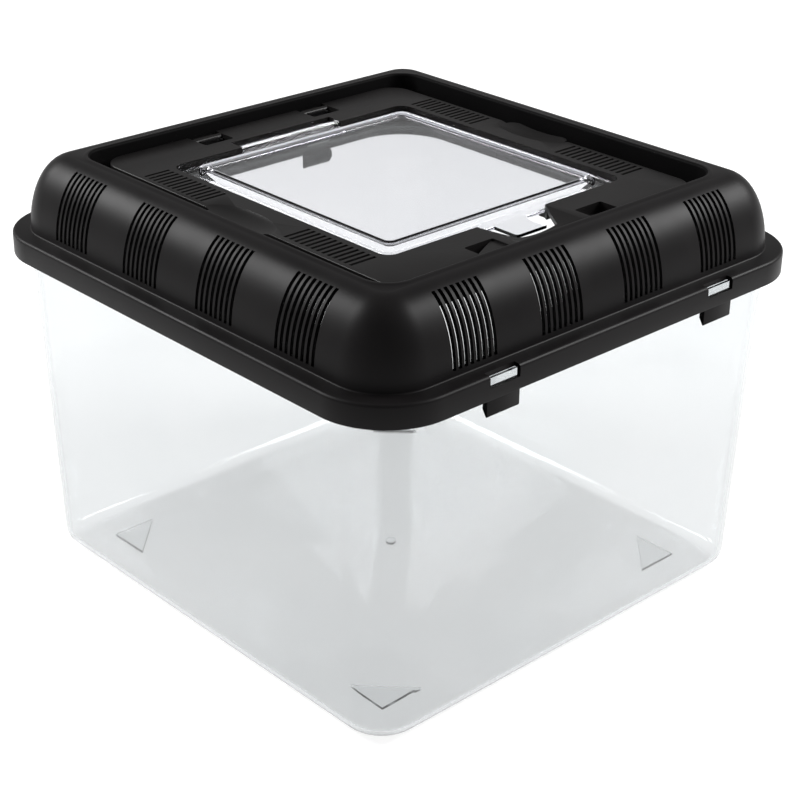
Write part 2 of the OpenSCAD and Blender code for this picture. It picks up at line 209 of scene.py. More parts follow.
frameFinish = blackPlastic("satinBlack", {
    "dark": (0.0042, 0.0037, 0.0039), "pale": (0.0062, 0.0055, 0.0057), "ior": 1.18,
    "smooth": 0.37, "rough": 0.45, "grainScale": 1400, "grain": 0.10,
})
panelFinish = blackPlastic("grainedBlack", {
    "dark": (0.0045, 0.0041, 0.0041), "pale": (0.0070, 0.0064, 0.0064), "ior": 1.24,
    "smooth": 0.33, "rough": 0.42, "grainScale": 1100, "grain": 0.25,
})
# rougher, darker black for the lid's inner faces: the roughness is the unpolished finish, the darker
# colour is painted shade in the slots and under the dome
shadedInsideFinish = blackPlastic("mattShadedBlack", {
    "dark": (0.0012, 0.0011, 0.0012), "pale": (0.0020, 0.0018, 0.0019), "ior": 1.12,
    "smooth": 0.55, "rough": 0.65, "grainScale": 900, "grain": 0.3,
})
tubFinish = clearPlastic("clearTub", {
    "dark": (0.945, 0.953, 0.957), "pale": (0.968, 0.972, 0.974), "ior": 1.47,
    "smooth": 0.02, "rough": 0.05, "cloudScale": 9, "grainScale": 14, "grain": 0.05,
    "inside": (0.20, 0.25, 0.27), "density": 70,
})
hatchFinish = clearPlastic("clearHatch", {
    "dark": (0.895, 0.895, 0.91), "pale": (0.92, 0.92, 0.93), "ior": 1.3,
    "smooth": 0.01, "rough": 0.03, "cloudScale": 14, "grainScale": 20, "grain": 0.03,
    "inside": (0.30, 0.29, 0.40), "density": 50,
})
print("finishes mixed")


def only(piece):
    if bpy.context.object and bpy.context.object.mode != "OBJECT":
        bpy.ops.object.mode_set(mode="OBJECT")
    bpy.ops.object.select_all(action="DESELECT")
    piece.select_set(True)
    bpy.context.view_layer.objects.active = piece


def block(name, low, high):
    bpy.ops.object.select_all(action="DESELECT")
    middle = [(a + b) / 2 for a, b in zip(low, high)]
    size = [b - a for a, b in zip(low, high)]
    bpy.ops.mesh.primitive_cube_add(size=1, location=middle)
    piece = bpy.context.object
    piece.name = name
    piece.scale = size
    bpy.ops.object.transform_apply(location=True, rotation=True, scale=True)
    return piece


def rod(name, radius, start, length, sides=32, axis="x"):
    # a round bar that runs along x or y
    bpy.ops.object.select_all(action="DESELECT")
    if axis == "x":
        middle = (start[0] + length / 2, start[1], start[2])
        turn = (0, math.pi / 2, 0)
    else:
        middle = (start[0], start[1] + length / 2, start[2])
        turn = (math.pi / 2, 0, 0)
    bpy.ops.mesh.primitive_cylinder_add(vertices=sides, radius=radius, depth=length,
                                        location=middle, rotation=turn)
    piece = bpy.context.object
    piece.name = name
    bpy.ops.object.transform_apply(location=True, rotation=True, scale=True)
    return piece


def pick(piece, kind, test):
    # goes into edit mode and selects what the test takes
    if piece.mode != "EDIT":
        only(piece)
        bpy.ops.object.mode_set(mode="EDIT")
    bpy.ops.mesh.select_mode(type=kind)
    bpy.ops.mesh.select_all(action="DESELECT")
    net = bmesh.from_edit_mesh(piece.data)
    found = {"VERT": net.verts, "EDGE": net.edges, "FACE": net.faces}[kind]
    for item in found:
        if test(item):
            item.select_set(True)
    bmesh.update_edit_mesh(piece.data)


def endEdit():
    bpy.ops.object.mode_set(mode="OBJECT")


def level(z):
    return lambda item: all(abs(corner.co.z - z) < tiny for corner in item.verts)


def upright(edge):
    first, second = edge.verts
    return abs(first.co.z - second.co.z) > tiny and (first.co.xy - second.co.xy).length < tiny


def roundedBlock(name, low, high, radius, segments=8):
    piece = block(name, low, high)
    pick(piece, "EDGE", upright)
    bpy.ops.mesh.bevel(offset=radius, segments=segments, affect="EDGES")
    endEdit()
    return piece


def combine(piece, tool, how):
    only(piece)
    step = piece.modifiers.new("cut", "BOOLEAN")
    step.operation = how
    step.solver = "EXACT"
    step.object = tool
    bpy.ops.object.modifier_apply(modifier=step.name)
    bpy.data.objects.remove(tool, do_unlink=True)


def cut(piece, tool):
    combine(piece, tool, "DIFFERENCE")


def weld(piece, tool):
    combine(piece, tool, "UNION")


def twin(piece, move=(0, 0, 0), turn=0.0, flip=None):
    # a copy with its own mesh, moved, turned about z or mirrored in x or y
    only(piece)
    bpy.ops.object.duplicate(linked=False)
    copy = bpy.context.object
    copy.rotation_euler = (0, 0, turn)
    copy.location = move
    if flip is not None:
        copy.scale[flip] = -1
    bpy.ops.object.transform_apply(location=True, rotation=True, scale=True)
    if flip is not None:
        bpy.ops.object.mode_set(mode="EDIT")
        bpy.ops.mesh.select_all(action="SELECT")
        bpy.ops.mesh.normals_make_consistent(inside=False)
        bpy.ops.object.mode_set(mode="OBJECT")
    return copy


def gather(pieces, name):
    only(pieces[0])
    for piece in pieces:
        piece.select_set(True)
    bpy.context.view_layer.objects.active = pieces[0]
    bpy.ops.object.join()
    joined = bpy.context.object
    joined.name = name
    return joined


def mirrored(pieces, axis):
    return pieces + [twin(piece, flip=axis) for piece in pieces]


def prism(name, outline, low, high, axis):
    # a flat outline pushed out along an axis, from low to high
    bpy.ops.object.select_all(action="DESELECT")
    bpy.ops.mesh.primitive_circle_add(vertices=len(outline), radius=1, fill_type="NGON")
    piece = bpy.context.object
    piece.name = name
    for corner, (a, b) in zip(piece.data.vertices, outline):
        if axis == "x":
            corner.co = (low, a, b)
        else:
            corner.co = (a, b, low)
    push = (high - low, 0, 0) if axis == "x" else (0, 0, high - low)
    bpy.ops.object.mode_set(mode="EDIT")
    bpy.ops.mesh.select_all(action="SELECT")
    bpy.ops.mesh.extrude_region_move(TRANSFORM_OT_translate={"value": push})
    bpy.ops.mesh.select_all(action="SELECT")
    bpy.ops.mesh.normals_make_consistent(inside=False)
    bpy.ops.object.mode_set(mode="OBJECT")
    return piece


def roundedSheet(name, halfWidth, halfDepth, radius, z, steps, middle=0.0):
    # a flat sheet with rounded corners
    bpy.ops.object.select_all(action="DESELECT")
    bpy.ops.mesh.primitive_plane_add(size=2, location=(0, middle, z))
    sheet = bpy.context.object
    sheet.name = name
    sheet.scale = (halfWidth, halfDepth, 1)
    bpy.ops.object.transform_apply(location=True, rotation=True, scale=True)
    pick(sheet, "VERT", lambda corner: True)
    bpy.ops.mesh.bevel(offset=radius, segments=steps, affect="VERTICES")
    endEdit()
    return sheet


def loft(name, rings, steps):
    # a closed skin through rounded outlines (halfWidth, front, back, radius, z): a sheet is
    # extruded once for each outline, and its corners are moved onto that outline in turn
    def angleFrom(middle):
        return lambda place: math.atan2(place.y - middle, place.x)

    outlines = []
    for halfWidth, front, back, radius, z in rings:
        middle = (front + back) / 2
        sheet = roundedSheet(name, halfWidth, (back - front) / 2, radius, z, steps, middle)
        places = [corner.co.copy() for corner in sheet.data.vertices]
        outlines.append((middle, sorted(places, key=angleFrom(middle))))
        if len(outlines) > 1:
            bpy.data.objects.remove(sheet, do_unlink=True)
        else:
            skin = sheet
    pick(skin, "FACE", lambda face: True)
    lastMiddle = outlines[0][0]
    for middle, places in outlines[1:]:
        bpy.ops.mesh.extrude_region_move()
        net = bmesh.from_edit_mesh(skin.data)
        chosen = [corner for corner in net.verts if corner.select]
        turned = sorted(chosen, key=lambda corner: angleFrom(lastMiddle)(corner.co))
        for corner, place in zip(turned, places):
            corner.co = place
        bmesh.update_edit_mesh(skin.data)
        lastMiddle = middle
    endEdit()
    faceOut(skin)
    return skin


def faceOut(piece, z=None, upwards=True):
    # all faces point the same way; on an open skin the face at z says which way is out
    pick(piece, "FACE", lambda face: True)
    bpy.ops.mesh.normals_make_consistent(inside=False)
    if z is not None:
        net = bmesh.from_edit_mesh(piece.data)
        known = next(face for face in net.faces if level(z)(face))
        if (known.normal.z > 0) != upwards:
            bpy.ops.mesh.select_all(action="SELECT")
            bpy.ops.mesh.flip_normals()
    endEdit()


def thicken(piece, wall):
    only(piece)
    step = piece.modifiers.new("wall", "SOLIDIFY")
    step.thickness = wall
    step.offset = -1
    step.use_even_offset = True
    bpy.ops.object.modifier_apply(modifier=step.name)


def soften(piece, width, angle=40):
    only(piece)
    step = piece.modifiers.new("edges", "BEVEL")
    step.width = width
    step.segments = 2
    step.limit_method = "ANGLE"
    step.angle_limit = math.radians(angle)
    bpy.ops.object.modifier_apply(modifier=step.name)


def smooth(piece, angle=30):
    only(piece)
    bpy.ops.object.shade_smooth_by_angle(angle=math.radians(angle))


def settle(piece, node, body, finish):
    piece.data.materials.clear()
    piece.data.materials.append(finish)
    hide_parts(node)
    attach(piece, body)
    print(piece.name, "done with", len(piece.data.polygons), "faces")


lid = {
    "cornerRadius": 40 * mm, "cornerSteps": 16,
    "hookDrop": 9 * mm, "skirtHeight": 13 * mm, "skin": 2.2 * mm, "ridge": 2.0 * mm,
    "ledge": 10.2 * mm, "domeWidth": 23.8 * mm, "domeSteps": 16,
    "domeFoot": 0.9 * mm, "skirtEdge": 0.5 * mm, "openingEdge": 1.5 * mm,
    "crease": 0.5 * mm, "creaseWidth": 1.4 * mm, "beadWidth": 4.1 * mm,
    "beadShoulder": 0.22, "beadRises": (0.64, 0.36),  # shares of the bead's width and the crease
    "openingRadius": 14 * mm, "openingDepth": 16.3 * mm, "seat": 14 * mm, "seatShort": 0.5 * mm,
    "slotCount": 8, "slotPitch": 3.86 * mm, "slotWidth": 2.2 * mm, "slotIn": 2 * mm,
    "slotLow": 3.3 * mm, "slotHigh": 2.9 * mm, "slotGroups": 4,
    "hookWidth": 22 * mm, "hookFace": 0.8 * mm, "hookThick": 3.2 * mm, "hookSlope": 4 * mm,
    "hookTipIn": 0.6 * mm, "hookTipUp": 0.8 * mm, "hookSoft": 0.3 * mm,
    "windowWidth": 20 * mm, "windowHeight": 6.3 * mm, "windowDepth": 4.4 * mm,
    "clipWidth": 13 * mm, "clipWall": 1.8 * mm, "clipMouth": 3.5 * mm, "clipTop": 0.55,
    "pinGap": 0.08 * mm,
    "catchWidth": 10 * mm, "catchLength": 10 * mm, "catchThick": 2.4 * mm, "catchIn": 2 * mm,
    "catchSoft": 0.4 * mm,
    # faces turned further inwards than mattShadeBelow take the darker black, painted shade
    "cornerShare": 0.37, "mattShadeBelow": 0.45,
}


def bandDepth(place, halfWidth, halfDepth, radius):
    # how far a point lies in from an outline with rounded corners
    across = abs(place.x) - (halfWidth - radius)
    along = abs(place.y) - (halfDepth - radius)
    if across > 0 and along > 0:
        return radius - math.hypot(across, along)
    return radius - max(across, along)


def frameShell(halfWidth, halfDepth, skirtLow, crown):
    ledgeTop = skirtLow + lid["skirtHeight"]
    creaseLevel = crown - lid["crease"]
    radius = lid["cornerRadius"]
    # the skirt and the ledge, then the dome ring by ring
    shell = block("lidFrame", (-halfWidth, -halfDepth, skirtLow), (halfWidth, halfDepth, ledgeTop))
    pick(shell, "EDGE", upright)
    bpy.ops.mesh.bevel(offset=radius, segments=lid["cornerSteps"], affect="EDGES")
    pick(shell, "FACE", level(skirtLow))
    bpy.ops.mesh.delete(type="FACE")
    pick(shell, "FACE", level(ledgeTop))
    bpy.ops.mesh.inset(thickness=lid["ledge"], depth=0)
    inwards, rise = 0.0, 0.0
    for step in range(1, lid["domeSteps"] + 1):
        angle = math.pi / 2 * step / lid["domeSteps"]
        nextIn = lid["domeWidth"] * (1 - math.cos(angle))
        nextRise = (creaseLevel - ledgeTop) * math.sin(angle)
        bpy.ops.mesh.inset(thickness=nextIn - inwards, depth=nextRise - rise)
        inwards, rise = nextIn, nextRise
    bpy.ops.mesh.delete(type="FACE")
    endEdit()

    # the bead round the opening, the opening's wall and the seat
    band = lid["ledge"] + lid["domeWidth"] + lid["creaseWidth"]
    rim = roundedSheet("rim", halfWidth - band, halfDepth - band,
                       lid["openingRadius"] + lid["beadWidth"], creaseLevel, lid["cornerSteps"])
    pick(rim, "FACE", lambda face: True)
    shoulder = lid["beadWidth"] * lid["beadShoulder"]
    for share in lid["beadRises"]:
        bpy.ops.mesh.inset(thickness=shoulder, depth=lid["crease"] * share)
    bpy.ops.mesh.inset(thickness=lid["beadWidth"] - 2 * shoulder, depth=0)
    bpy.ops.mesh.extrude_region_move(TRANSFORM_OT_translate={"value": (0, 0, -lid["openingDepth"])})
    bpy.ops.mesh.inset(thickness=lid["seat"] / 2, depth=0)
    bpy.ops.mesh.inset(thickness=lid["seat"] / 2 - lid["seatShort"], depth=0)
    bpy.ops.mesh.delete(type="FACE")
    endEdit()
    shell = gather([shell, rim], "lidFrame")
    pick(shell, "EDGE", lambda edge: len(edge.link_faces) == 1 and level(creaseLevel)(edge))
    bpy.ops.mesh.bridge_edge_loops()
    endEdit()
    faceOut(shell, ledgeTop, True)

    # round the skirt's ridge, the dome's foot and the skirt's lower edge
    def onRing(edge, inwards):
        depths = [bandDepth(corner.co, halfWidth, halfDepth, radius) for corner in edge.verts]
        return all(abs(depth - inwards) < tiny for depth in depths)

    pick(shell, "EDGE", lambda edge: level(ledgeTop)(edge) and onRing(edge, lid["ledge"]))
    bpy.ops.mesh.bevel(offset=lid["domeFoot"], segments=3, affect="EDGES")
    endEdit()
    thicken(shell, lid["skin"])
    pick(shell, "EDGE", lambda edge: level(ledgeTop)(edge) and onRing(edge, 0))
    bpy.ops.mesh.bevel(offset=lid["ridge"], segments=5, affect="EDGES")
    opening = (halfWidth - band - lid["beadWidth"], halfDepth - band - lid["beadWidth"])

    def beadEdge(edge):
        depths = [bandDepth(corner.co, *opening, lid["openingRadius"]) for corner in edge.verts]
        return level(crown)(edge) and all(abs(depth) < tiny for depth in depths)

    pick(shell, "EDGE", beadEdge)
    bpy.ops.mesh.bevel(offset=lid["openingEdge"], segments=4, affect="EDGES")
    pick(shell, "EDGE", lambda edge: level(skirtLow)(edge) and onRing(edge, 0))
    bpy.ops.mesh.bevel(offset=lid["skirtEdge"], segments=2, affect="EDGES")
    endEdit()
    return shell


def slotCutters(halfWidth, halfDepth, ledgeTop, crown):
    # one slot, copied into a group, then the groups along each side
    inner = lid["ledge"] + lid["domeWidth"] - lid["slotIn"]
    reach = lid["domeWidth"]
    low, high = ledgeTop + lid["slotLow"], crown - lid["slotHigh"]
    bars = []
    for half, other, turn in ((halfWidth, halfDepth, 0), (halfDepth, halfWidth, math.pi / 2)):
        straight = 2 * (other - lid["cornerRadius"])
        slot = block("slot", (half - inner, -lid["slotWidth"] / 2, low),
                     (half - inner + reach, lid["slotWidth"] / 2, high))
        first = -(lid["slotCount"] - 1) / 2
        shifts = [(first + index) * lid["slotPitch"] for index in range(lid["slotCount"])]
        slots = [twin(slot, move=(0, shift, 0)) for shift in shifts]
        bpy.data.objects.remove(slot, do_unlink=True)
        group = gather(slots, "slotGroup")
        for side in (0, math.pi):
            for index in range(lid["slotGroups"]):
                place = index - (lid["slotGroups"] - 1) / 2
                shift = place * straight / lid["slotGroups"]
                move = (shift, 0, 0) if turn else (0, shift, 0)
                bars.append(twin(group, move=move, turn=turn + side))
        bpy.data.objects.remove(group, do_unlink=True)
    return gather(bars, "slotCutters")


def snapHook(halfDepth, skirtLow):
    face = halfDepth - lid["hookFace"]
    back = halfDepth - lid["skin"]
    nose = skirtLow - lid["hookDrop"]
    inner = -face + lid["hookThick"]
    outline = [
        (-face, skirtLow + mm), (-face, nose + lid["hookTipUp"]), (-face + lid["hookTipIn"], nose),
        (inner, nose + lid["hookSlope"]), (inner, skirtLow - mm),
        (-back, skirtLow), (-back, skirtLow + mm),
    ]
    hook = prism("hook", outline, -lid["hookWidth"] / 2, lid["hookWidth"] / 2, "x")
    soften(hook, lid["hookSoft"])
    return hook


def hingeClip(axis, seatTop, barRadius, across):
    # a round clip on a post, open at the top
    left = across - lid["clipWidth"] / 2
    right = across + lid["clipWidth"] / 2
    hole = barRadius + lid["pinGap"]
    outer = hole + lid["clipWall"]
    y, z = axis
    clip = rod("clip", outer, (left, y, z), lid["clipWidth"])
    weld(clip, block("post", (left, y - outer, seatTop - mm), (right, y + outer, z)))
    cut(clip, rod("hole", hole, (left - mm, y, z), lid["clipWidth"] + 2 * mm))
    mouth = lid["clipMouth"] / 2
    cut(clip, block("mouth", (left - mm, y - mouth, z), (right + mm, y + mouth, z + 2 * outer)))
    cut(clip, block("top", (left - mm, y - 2 * outer, z + lid["clipTop"] * barRadius),
                    (right + mm, y + 2 * outer, z + 2 * outer)))
    return clip


def mattAndShadeInside(piece):
    # the hollow side and the slots' walls come off the mould unpolished, and get a darker colour that
    # is painted shade in the slots and under the dome
    piece.data.materials.append(shadedInsideFinish)
    width, depth = piece.dimensions.x, piece.dimensions.y
    share = lid["cornerShare"]
    for face in piece.data.polygons:
        place, facing = face.center, face.normal
        acrossOut = facing.x * math.copysign(1, place.x)
        alongOut = facing.y * math.copysign(1, place.y)
        if abs(place.x) > width * share and abs(place.y) > depth * share:
            sideways = (acrossOut + alongOut) * math.sqrt(0.5)  # a corner faces both ways
        elif abs(place.x) / width > abs(place.y) / depth:
            sideways = acrossOut
        else:
            sideways = alongOut
        if sideways + facing.z < lid["mattShadeBelow"]:
            face.material_index = 1


def makeLidFrame():
    low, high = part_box("lid_frame")
    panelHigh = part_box("door_panel")[1]
    halfWidth, halfDepth, crown = high.x, high.y, high.z
    skirtLow = low.z + lid["hookDrop"]
    ledgeTop = skirtLow + lid["skirtHeight"]
    seatTop = crown - lid["openingDepth"]
    piece = frameShell(halfWidth, halfDepth, skirtLow, crown)
    cut(piece, slotCutters(halfWidth, halfDepth, ledgeTop, crown))

    # hooks, and the windows above them
    hookAcross = 2 * (halfWidth - lid["cornerRadius"]) / 3
    hooks = [twin(snapHook(halfDepth, skirtLow), move=(hookAcross, 0, 0))]
    bpy.data.objects.remove(bpy.data.objects["hook"], do_unlink=True)
    hooks = mirrored(mirrored(hooks, 0), 1)
    weld(piece, gather(hooks, "hooks"))
    halfWindow = lid["windowWidth"] / 2
    window = block("window", (hookAcross - halfWindow, -halfDepth - mm, ledgeTop - lid["windowHeight"]),
                   (hookAcross + halfWindow, -halfDepth + lid["windowDepth"], ledgeTop + mm))
    cut(piece, gather(mirrored(mirrored([window], 0), 1), "windows"))

    # clips for the door's hinge bars, catches at the front
    axis = (panelHigh.y - door["axisIn"], panelHigh.z - door["barRadius"])
    clip = hingeClip(axis, seatTop, door["barRadius"], door["notchAcross"])
    weld(piece, gather(mirrored([clip], 0), "clips"))
    catchLeft = door["notchAcross"] - door["notchWidth"] / 2 + lid["catchIn"]
    catchTop = panelHigh.z - door["plate"]
    openingFront = -(halfDepth - lid["ledge"] - lid["domeWidth"]
                     - lid["creaseWidth"] - lid["beadWidth"])
    catch = block("catch", (catchLeft, openingFront - mm, catchTop - lid["catchThick"]),
                  (catchLeft + lid["catchWidth"], openingFront + lid["catchLength"], catchTop))
    soften(catch, lid["catchSoft"])
    weld(piece, gather(mirrored([catch], 0), "catches"))
    smooth(piece)
    settle(piece, "lid_frame", "lid", frameFinish)
    # the inner faces and slot walls take the darker black, painted shade
    mattAndShadeInside(piece)


door = {
    "corner": 14 * mm, "cornerSteps": 12, "plate": 3 * mm, "skirt": 2 * mm, "edge": 0.7 * mm,
    "noSkirtBack": 20 * mm,
    "sideBorder": 23.5 * mm, "endBorder": 33.5 * mm, "hatchCorner": 7 * mm, "wall": 3 * mm,
    "restWidth": 4 * mm, "restThick": 2 * mm, "restDrop": 5.5 * mm,
    "ventCount": 13, "ventPitch": 4.1 * mm, "ventWidth": 2 * mm, "ventLength": 16.5 * mm,
    "ventMargin": 4 * mm, "ventIn": 3 * mm,
    "notchWidth": 20 * mm, "notchDepth": 17.5 * mm, "notchAcross": 40 * mm, "notchRound": 1.2 * mm,
    "pocketIn": 7.9 * mm, "pocketDrop": 5.8 * mm, "pocketThick": 1.4 * mm, "pocketWall": 1.2 * mm,
    "pocketShy": 0.05 * mm,  # keeps the pocket's faces off the notch's
    "gussetDrop": 1.1 * mm,
    "scoopWidth": 54 * mm, "scoopDepth": 13.5 * mm, "scoopSink": 2.9 * mm, "scoopBowl": 6 * mm,
    "scoopShare": 0.88,
    "lugWidth": 46 * mm, "lugReach": 5.5 * mm, "lugThick": 6 * mm,
    "bayWidth": 50 * mm, "bayDrop": 4.5 * mm, "bayFront": 15 * mm, "bayNarrow": 2 * mm,
    "dipThinner": 0.6 * mm, "roundSides": 256,
    "barNotchWidth": 73 * mm, "barNotchDepth": 10.5 * mm, "boss": 7 * mm, "bossBack": 3.7 * mm,
    "axisIn": 5 * mm, "barRadius": 2.2 * mm, "pinHole": 1.58 * mm,
    "hatchAxisOut": 2.5 * mm, "hatchAxisDrop": 2.2 * mm,
}


def panelPlate(low, high):
    # the plate with a skirt under its edge, except at the back
    plateLow = high.z - door["plate"]
    plate = roundedBlock("doorPanel", (low.x, low.y, plateLow), (high.x, high.y, high.z),
                         door["corner"], door["cornerSteps"])
    pick(plate, "EDGE", level(high.z))
    bpy.ops.mesh.bevel(offset=door["edge"], segments=3, affect="EDGES")
    pick(plate, "FACE", level(plateLow))
    bpy.ops.mesh.inset(thickness=door["skirt"], depth=0)
    endEdit()
    backEnd = high.y - door["noSkirtBack"]
    pick(plate, "FACE", lambda face: True)
    bpy.ops.mesh.bisect(plane_co=(0, backEnd, 0), plane_no=(0, 1, 0))

    def underSkirt(face):
        middle = face.calc_center_median()
        depth = bandDepth(middle, high.x, high.y, door["corner"])
        return level(plateLow)(face) and depth < door["skirt"] and middle.y < backEnd

    pick(plate, "FACE", underSkirt)
    bpy.ops.mesh.extrude_region_move(TRANSFORM_OT_translate={"value": (0, 0, low.z - plateLow)})
    endEdit()
    return plate


def ball(name, radius, middle):
    bpy.ops.object.select_all(action="DESELECT")
    bpy.ops.mesh.primitive_uv_sphere_add(segments=128, ring_count=64, radius=radius,
                                         location=middle)
    piece = bpy.context.object
    piece.name = name
    bpy.ops.object.transform_apply(location=True, rotation=True, scale=True)
    return piece


def shared(piece, tool):
    combine(piece, tool, "INTERSECT")
    return piece


def makeDoorPanel():
    low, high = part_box("door_panel")
    top, bottom = high.z, low.z
    piece = panelPlate(low, high)
    hatchX = high.x - door["sideBorder"]
    hatchY = high.y - door["endBorder"]
    restTop = top - door["restDrop"]
    restLow = restTop - door["restThick"]
    inside = top - mm

    # wall round the hatch opening, and the bosses for its pins
    wall = door["wall"]
    weld(piece, roundedBlock("hatchWall", (-hatchX - wall, -hatchY - wall, restLow),
                             (hatchX + wall, hatchY + wall, inside), door["hatchCorner"] + wall))
    bossLeft = door["barNotchWidth"] / 2
    bossBack = hatchY + door["hatchAxisOut"] + door["bossBack"]
    boss = block("boss", (bossLeft, hatchY, restLow), (bossLeft + door["boss"], bossBack, inside))
    weld(piece, gather(mirrored([boss], 0), "bosses"))

    # lugs under the finger scoops, a little wider than the plate
    halfLug = door["lugWidth"] / 2
    lug = block("lug", (high.x - door["scoopDepth"] - mm, -halfLug, top - door["lugThick"]),
                (high.x + door["lugReach"], halfLug, inside))
    pick(lug, "EDGE", lambda edge: upright(edge) and edge.verts[0].co.x > high.x)
    bpy.ops.mesh.bevel(offset=door["lugReach"], segments=8, affect="EDGES")
    endEdit()
    weld(piece, gather(mirrored([lug], 0), "lugs"))

    # skin under the dip in the front border
    dipRadius = (door["bayWidth"] ** 2 / 4 + door["bayDrop"] ** 2) / (2 * door["bayDrop"])
    dipStart = (0, low.y - mm, top - door["bayDrop"] + dipRadius)
    dipLength = door["endBorder"] + mm
    half = door["bayWidth"] / 2
    dipBlock = block("dipSkin", (-half, low.y + mm / 2, bottom), (half, -hatchY - wall + mm, inside))
    dipOuter = dipRadius + door["plate"] - door["dipThinner"]
    dipRod = rod("dipRod", dipOuter, dipStart, dipLength, door["roundSides"], "y")
    weld(piece, shared(dipBlock, dipRod))

    # hatch opening with its rest, long notch, pin holes
    corner = door["hatchCorner"]
    cut(piece, roundedBlock("opening", (-hatchX, -hatchY, restTop), (hatchX, hatchY, top + mm),
                            corner))
    rest = door["restWidth"]
    cut(piece, roundedBlock("inner", (-hatchX + rest, -hatchY + rest, restLow - mm),
                            (hatchX - rest, hatchY - rest, top + mm), corner - rest / 2))
    cut(piece, block("barNotch", (-bossLeft, hatchY - sliver, restTop),
                     (bossLeft, hatchY + door["barNotchDepth"], top + mm)))
    pinEnd = -bossLeft - door["boss"] - mm
    pinAxis = (pinEnd, hatchY + door["hatchAxisOut"], top - door["hatchAxisDrop"])
    cut(piece, rod("pinHole", door["pinHole"], pinAxis, -2 * pinEnd))

    # notches at both ends
    notchLeft = door["notchAcross"] - door["notchWidth"] / 2
    notchRight = notchLeft + door["notchWidth"]
    notch = block("notch", (notchLeft, high.y - door["notchDepth"], bottom - mm),
                  (notchRight, high.y + mm, top + mm))
    pick(notch, "EDGE", lambda edge: upright(edge) and edge.verts[0].co.y < high.y)
    bpy.ops.mesh.bevel(offset=door["notchRound"], segments=4, affect="EDGES")
    endEdit()
    cut(piece, gather(mirrored(mirrored([notch], 0), 1), "notches"))

    # a pocket under each front notch, and a gusset in the left one
    pocketFront = low.y + door["pocketIn"]
    pocketBack = low.y + door["notchDepth"]
    pocketTop = top - door["pocketDrop"]
    pocketWall, shy = door["pocketWall"], door["pocketShy"]
    pocket = block("pocket", (notchLeft - pocketWall, pocketFront, pocketTop - door["pocketThick"]),
                   (notchRight + pocketWall, pocketBack + pocketWall, inside))
    cut(pocket, block("hollow", (notchLeft + shy, pocketFront - mm, pocketTop),
                      (notchRight - shy, pocketBack - shy, inside + mm)))
    weld(piece, gather(mirrored([pocket], 0), "pockets"))
    gussetLeft, gussetBack, gussetFront = -notchLeft + mm / 2, pocketBack + mm / 2, pocketFront + shy
    gusset = [(-notchLeft - shy * 3, gussetBack), (gussetLeft, gussetBack),
              (gussetLeft, gussetFront), (-notchRight - mm / 2, gussetFront)]
    weld(piece, prism("gusset", gusset, pocketTop - mm / 2, top - door["gussetDrop"], "z"))

    # vents
    ventRight = high.x - door["ventIn"]
    halfVent = door["ventWidth"] / 2
    span = (door["ventCount"] - 1) * door["ventPitch"]
    firstVent = hatchY - door["ventMargin"] - span
    vent = block("vent", (ventRight - door["ventLength"], -halfVent, top - 2 * door["plate"]),
                 (ventRight, halfVent, top + mm))
    shifts = [firstVent + index * door["ventPitch"] for index in range(door["ventCount"])]
    vents = [twin(vent, move=(0, shift, 0)) for shift in shifts]
    bpy.data.objects.remove(vent, do_unlink=True)
    vents = [gather(vents, "ventGroup")]
    cut(piece, gather(mirrored(mirrored(vents, 0), 1), "vents"))

    # each scoop is a shallow oval bowl that rises again towards the panel's edge
    bowl = door["scoopBowl"]
    rimShare = math.sqrt(1 - (1 - door["scoopSink"] / bowl) ** 2)  # how wide the bowl is at the top
    across = door["scoopShare"] * door["scoopDepth"] / rimShare
    along = door["scoopWidth"] / 2 / rimShare
    middle = (high.x - door["scoopDepth"] + across * rimShare, 0, top + bowl - door["scoopSink"])
    scoop = ball("scoop", bowl, (0, 0, 0))
    scoop.scale = (across / bowl, along / bowl, 1)
    scoop.location = middle
    only(scoop)
    bpy.ops.object.transform_apply(location=True, rotation=True, scale=True)
    cut(piece, gather(mirrored([scoop], 0), "scoops"))

    # dip and the bay for the hatch's tongue
    cut(piece, rod("dip", dipRadius, dipStart, dipLength, door["roundSides"], "y"))
    narrow = half / 2 + door["bayNarrow"]
    bayFront = low.y + door["bayFront"]
    bay = [(-half, -hatchY + rest), (half, -hatchY + rest), (half, -hatchY), (narrow, bayFront),
           (-narrow, bayFront), (-half, -hatchY)]
    cut(piece, prism("bay", bay, bottom - mm, top + mm, "z"))

    # hinge bars across the back notches
    barStart = (notchLeft - mm / 2, high.y - door["axisIn"], top - door["barRadius"])
    bar = rod("bar", door["barRadius"], barStart, door["notchWidth"] + mm)
    weld(piece, gather(mirrored([bar], 0), "bars"))
    smooth(piece)
    settle(piece, "door_panel", "door", panelFinish)


hatch = {
    "thick": 1.8 * mm, "skin": 1.5 * mm, "corner": 6.4 * mm, "flange": 8.4 * mm, "soft": 0.35 * mm,
    "wallCorner": 5 * mm, "cornerShrink": 0.3, "steps": 8,
    # the bead's section in mm: how far in from the wall, and how far under the bead's top
    "bead": [(0.0, 0.9), (0.15, 0.45), (0.6, 0.1), (1.1, 0.0), (1.7, 0.1), (2.1, 0.5), (2.5, 0.6),
             (2.9, 0.5), (3.3, 0.15), (3.9, 0.0), (4.4, 0.1), (4.8, 0.45), (5.0, 1.2)],
    "backGap": 6.1 * mm, "tongueWidth": 23 * mm, "tongueLength": 16 * mm, "tongueRound": 2 * mm,
    "overlap": 2 * mm, "ridgeAngles": (55, 90, 125), "ridgeRadius": 0.45 * mm, "ridgeSunk": 0.25 * mm,
    "barLength": 72 * mm, "barRadius": 2.2 * mm, "pinRadius": 1.5 * mm, "pinLength": 4.5 * mm,
    "axisDrop": 3.0 * mm, "barSides": 48, "ridgeSides": 12,
}


